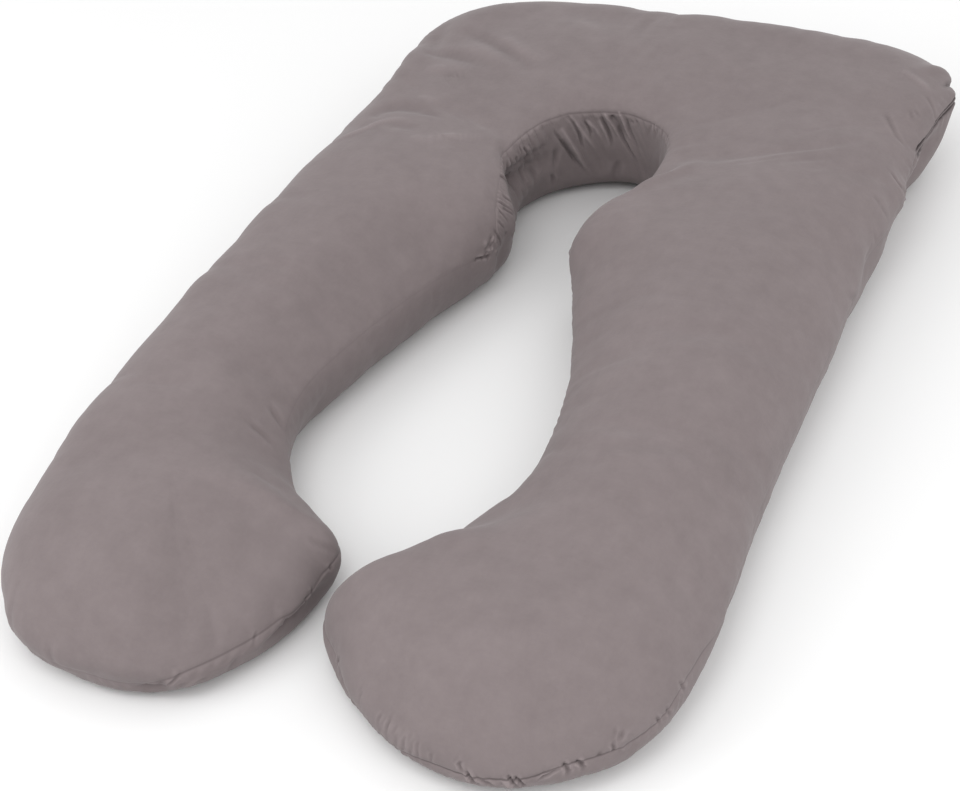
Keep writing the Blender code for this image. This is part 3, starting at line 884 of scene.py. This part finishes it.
def fold_cover(cover, stitched):
    """Moves the cover in and out for its lumps, stitches, gathers, creases, knots and pushes.

    Its attributes say how much painted shade the stitches and the corner's fold get, and how
    steeply a fold stands up or sinks in, which the cloth turns into a painted highlight on ridges
    and painted shade in hollows.
    """
    mesh = cover.data
    points = coordinates(mesh)
    along, across = cloth_lengths(mesh).T
    rows = np.interp(along, *stitched)
    level = across + by_row(rows, STITCH_RISE) / 1000
    random = np.random.default_rng(SEED)
    height = broad_lumps(random, points)
    for gathers in GATHERS:
        height += gathered(random, rows, along, across, gathers)

    folding = between(rows, *FOLD_ROWS, FOLD_ENDS)
    grooves = hump(np.abs(across) - FOLD_APART, FOLD_WIDTH)
    fold_lip = FOLD_LIP_SHARE * hump(across - FOLD_LIP_AT, FOLD_LIP_WIDTH)
    height += folding * FOLD_DEPTH * (fold_lip - grooves)
    depth = by_row(rows, STITCH_DEPTH) / 1000 * (1 - folding)
    rolls = hump(np.abs(across) - ROLL_AT, ROLL_AT / 2)
    height += depth * (ROLL_SHARE * rolls - hump(across, STITCH_WIDTH))

    # How steeply each crease and knot stands up or sinks in, for the painted highlight and painted
    # shade.
    steep = np.zeros(len(points))
    on_top = np.clip(level / TOP_FADE, 0, 1)
    for crease in TOP_CREASES:
        rise = on_top * crease_height(points[:, :2], crease, crease.path)
        height += rise
        steep += rise / (crease.width / 1000)
    places = np.column_stack([along, level])
    for crease in SIDE_CREASES:
        rise = crease_height(places, crease, side_places(crease.path, stitched))
        height += rise
        steep += rise / (crease.width / 1000)
    for knot in KNOTS:
        centre = side_places([(knot.row, knot.level)], stitched)
        radius = knot.radius / 1000
        rise = knot.height / 1000 * hump(np.linalg.norm(places - centre, axis=1), radius)
        height += rise
        steep += rise / radius
    for push in PUSHES:
        centre = side_places([(push.row, push.level)], stitched)
        away = (places - centre) / (push.along / 1000, push.up / 1000)
        height += push.height / 1000 * np.exp(-(away**2).sum(axis=1))

    height *= np.clip(points[:, 2] / LYING_FADE, 0, 1)
    normals = np.empty(len(points) * 3)
    mesh.vertices.foreach_get("normal", normals)
    points += normals.reshape(-1, 3) * height[:, None]
    points[:, 2] = np.maximum(points[:, 2], 0)
    move_to(mesh, points)
    # The painted shade of the stitched line and of the corner's fold, and the steepness for the
    # painted highlight and shade.
    shade = by_row(rows, STITCH_SHADE) * (1 - folding)
    steep = np.clip(steep, -1, 1)
    for name, values in (("stitch_shade", shade), ("fold_shade", folding), ("steep", steep)):
        mesh.attributes.new(name, "FLOAT", "POINT").data.foreach_set("value", values)


# The cover is sewn and stuffed, then cut finer and folded.
points, across = loft()
stitched = stitched_line(points)
cover = sew_cover(points, across, stitched[0])
stuff(cover)
refine = cover.modifiers.new("Subdivision", "SUBSURF")
refine.levels = refine.render_levels = 1
bpy.ops.object.modifier_apply(modifier=refine.name)
refine_folds(cover, stitched)
fold_cover(cover, stitched)
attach(cover, "root")
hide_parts("pillow")


# ------------------------------
# The cotton: brushed, a little mottled, with faint thicker threads both ways.


class Reading:
    """A socket of a material's nodes that can be reckoned with like a number."""

    def __init__(self, tree, socket=None):
        self.tree = tree
        self.socket = socket

    def node(self, kind, settings=(), sockets=(), output=0):
        """Adds a node of this kind, with its settings first and then its sockets' values or links."""
        made = self.tree.nodes.new("ShaderNode" + kind)
        for name, value in dict(settings).items():
            setattr(made, name, value)
        for name, value in dict(sockets).items():
            if isinstance(value, Reading):
                self.tree.links.new(value.socket, made.inputs[name])
            else:
                made.inputs[name].default_value = value
        return Reading(self.tree, made.outputs[output])

    def math(self, operation, first, second=0.0):
        return self.node("Math", {"operation": operation}, {0: first, 1: second})

    def __add__(self, other):
        return self.math("ADD", self, other)

    def __radd__(self, other):
        return self.math("ADD", other, self)

    def __sub__(self, other):
        return self.math("SUBTRACT", self, other)

    def __rsub__(self, other):
        return self.math("SUBTRACT", other, self)

    def __mul__(self, other):
        return self.math("MULTIPLY", self, other)

    def __rmul__(self, other):
        return self.math("MULTIPLY", other, self)

    def __truediv__(self, other):
        return self.math("DIVIDE", self, other)

    def size(self):
        return self.math("ABSOLUTE", self)

    def held(self):
        """The value kept between 0 and 1."""
        return self.node("Clamp", {}, {0: self})


# The dye where it is pale and deep, a painted highlight for the backs of raised folds, and the dark
# of the painted shade in the stitched line, the corner's deep fold and the hollows of folds.
COTTON_PALE = (0.198, 0.166, 0.167)
COTTON_DEEP = (0.157, 0.130, 0.131)
COTTON_PAINTED_HIGHLIGHT = (0.270, 0.228, 0.230)
PAINTED_SHADE_COLOUR = (0.035, 0.026, 0.027)
# How strongly the painted shade darkens the corner's deep fold and the hollows, how strongly the
# painted highlight lightens the raised folds, and half the stitches' breadth in metres.
FOLD_SHADE = 0.9
HOLLOW_SHADE = 0.28
RAISED_HIGHLIGHT = 0.8
SEAM_HALF = 0.0007
# How strongly each grain of the cloth tells in its paleness, and its relief in millimetres.
CLOUD_TONE = 0.8
BLOT_TONE = 1.0
SPECK_TONE = 0.4
THREAD_TONE = 0.15
SLUB_TONE = 0.6
SLUB_RARITY = 0.2
CRINKLE_HEIGHT = 1.1
THREAD_HEIGHT = 0.10
SPECK_HEIGHT = 0.15
COTTON_ROUGHNESS = 0.88
SPECK_ROUGHNESS = 0.12


def cotton_cloth():
    """The cover's material."""
    cotton = bpy.data.materials.new("cotton")
    cotton.use_nodes = True
    tree = cotton.node_tree
    shader = tree.nodes["Principled BSDF"]
    start = Reading(tree)
    place = start.node("TexCoord", output="Object")

    def grain(stretch, scale, detail=2.0, roughness=0.5):
        """Noise on the cloth, finer the larger stretch and scale are, and 0 on average."""
        at = start.node("VectorMath", {"operation": "MULTIPLY"}, {0: place, 1: stretch})
        sockets = {"Vector": at, "Scale": scale, "Detail": detail, "Roughness": roughness}
        return start.node("TexNoise", {}, sockets, "Fac") - 0.5

    clouds = grain((1, 1, 1), 9, 3)
    blots = grain((1, 1, 1), 42, 3, 0.6)
    crinkle = grain((1, 1, 1), 30, 3, 0.5)
    specks = grain((1, 1, 1), 190, 2, 0.6)
    threads = grain((0.08, 1, 1), 380, 1) + grain((1, 0.08, 1), 380, 1)
    slubs = (grain((0.16, 1, 1), 150, 1) - SLUB_RARITY).held()
    slubs = slubs + (grain((1, 0.16, 1), 150, 1) - SLUB_RARITY).held()
    cloth = start.node("UVMap", {"uv_map": "cloth"}, output="UV")
    across = start.node("SeparateXYZ", {}, {0: cloth}, "Y")
    # Painted shade along the stitched line and in the two grooves of the corner's deep fold.
    stitches = (2 - across.size() / SEAM_HALF).held()
    stitches = stitches * start.node("Attribute", {"attribute_name": "stitch_shade"}, output="Fac")
    folds = (2 - (across.size() - FOLD_APART).size() / FOLD_WIDTH).held()
    folds = folds * start.node("Attribute", {"attribute_name": "fold_shade"}, output="Fac")

    paleness = 0.5 + clouds * CLOUD_TONE + blots * BLOT_TONE + specks * SPECK_TONE
    paleness = paleness + threads * THREAD_TONE + slubs * SLUB_TONE
    paint = start.node(
        "Mix",
        {"data_type": "RGBA"},
        {0: paleness.held(), 6: (*COTTON_DEEP, 1), 7: (*COTTON_PALE, 1)},
        2,
    )
    # A painted highlight where a fold stands up steeply, then painted shade in its hollows, on the
    # stitches and in the corner's fold.
    steep = start.node("Attribute", {"attribute_name": "steep"}, output="Fac")
    raised = {0: steep.held() * RAISED_HIGHLIGHT, 6: paint, 7: (*COTTON_PAINTED_HIGHLIGHT, 1)}
    painted_highlight = start.node("Mix", {"data_type": "RGBA"}, raised, 2)
    deep = (stitches + folds * FOLD_SHADE + (0 - steep).held() * HOLLOW_SHADE).held()
    painted_shade = start.node("Mix", {"data_type": "RGBA"}, {0: deep, 6: painted_highlight, 7: (*PAINTED_SHADE_COLOUR, 1)}, 2)
    relief = crinkle * CRINKLE_HEIGHT + threads * THREAD_HEIGHT + specks * SPECK_HEIGHT
    bump = start.node("Bump", {}, {"Height": relief, "Distance": 0.001, "Strength": 1})
    tree.links.new(painted_shade.socket, shader.inputs["Base Color"])
    roughness = COTTON_ROUGHNESS + specks * SPECK_ROUGHNESS
    tree.links.new(roughness.socket, shader.inputs["Roughness"])
    tree.links.new(bump.socket, shader.inputs["Normal"])
    shader.inputs["Sheen Weight"].default_value = 0.12
    shader.inputs["Sheen Roughness"].default_value = 0.4
    shader.inputs["Specular IOR Level"].default_value = 0.25
    return cotton


cover.data.materials.append(cotton_cloth())

# ------------------------------
# The studio: a pale floor, soft lamps above and at the two ends and sides, and the camera.
LOOKED_AT = Vector((0.022, -0.197, 0.080))
CAMERA_AZIMUTH = 26.1
CAMERA_ELEVATION = 36.8
CAMERA_DISTANCE = 2.197
CAMERA_ROLL = -5.3
CAMERA_LENS = 71.1
LIT_AT = Vector((0, 0, 0.08))
TENT_STRENGTH = 0.92
# The soft lamps: where each hangs, how wide it is and its watts.
Lamp = namedtuple("Lamp", "name place size watts")
LAMPS = (
    Lamp("overhead", (0.05, -1.40, 2.30), 1.2, 13.5),
    Lamp("between the feet", (0.95, -2.40, 1.90), 1.3, 5.5),
    Lamp("right foot end", (1.90, -1.60, 1.60), 1.5, 14),
    Lamp("left foot end", (-1.70, -1.80, 1.60), 1.5, 16.5),
    Lamp("head end", (0.2, 2.60, 0.80), 1.8, 13),
    Lamp("left side", (-2.40, 0.0, 0.65), 1.8, 9),
    Lamp("right side", (2.50, 0.30, 0.45), 1.2, 7),
)


def set_camera():
    """A long lens that looks down on the pillow from beyond its feet."""
    azimuth, elevation, roll = map(math.radians, (CAMERA_AZIMUTH, CAMERA_ELEVATION, CAMERA_ROLL))
    back = Vector(
        (
            math.sin(azimuth) * math.cos(elevation),
            -math.cos(azimuth) * math.cos(elevation),
            math.sin(elevation),
        )
    )
    side = (-back).cross(Vector((0, 0, 1))).normalized()
    above = back.cross(side)
    right = side * math.cos(roll) + above * math.sin(roll)
    up = above * math.cos(roll) - side * math.sin(roll)
    data = bpy.data.cameras.new("camera")
    data.sensor_width = 36
    data.lens = CAMERA_LENS
    camera = bpy.data.objects.new("camera", data)
    camera.matrix_world = Matrix.Translation(LOOKED_AT + back * CAMERA_DISTANCE) @ (
        Matrix((right, up, back)).transposed().to_4x4()
    )
    bpy.context.scene.collection.objects.link(camera)
    bpy.context.scene.camera = camera


def lay_floor():
    bpy.ops.object.select_all(action="DESELECT")
    bpy.ops.mesh.primitive_plane_add(size=16)
    floor = bpy.context.object
    floor.name = "floor"
    paint = bpy.data.materials.new("floor")
    paint.use_nodes = True
    shader = paint.node_tree.nodes["Principled BSDF"]
    shader.inputs["Base Color"].default_value = (0.78, 0.78, 0.78, 1)
    shader.inputs["Roughness"].default_value = 0.9
    floor.data.materials.append(paint)


def set_light():
    """A white tent of light, and soft lamps that stand round the pillow."""
    world = bpy.data.worlds.new("studio")
    world.use_nodes = True
    world.node_tree.nodes["Background"].inputs["Color"].default_value = (1, 1, 1, 1)
    world.node_tree.nodes["Background"].inputs["Strength"].default_value = TENT_STRENGTH
    bpy.context.scene.world = world
    for lamp in LAMPS:
        glow = bpy.data.lights.new(lamp.name, "AREA")
        glow.energy = lamp.watts
        glow.size = lamp.size
        light = bpy.data.objects.new(lamp.name, glow)
        light.location = lamp.place
        light.rotation_euler = (LIT_AT - light.location).to_track_quat("-Z", "Y").to_euler()
        bpy.context.scene.collection.objects.link(light)
    bpy.context.scene.view_settings.view_transform = "Standard"


set_camera()
lay_floor()
set_light()
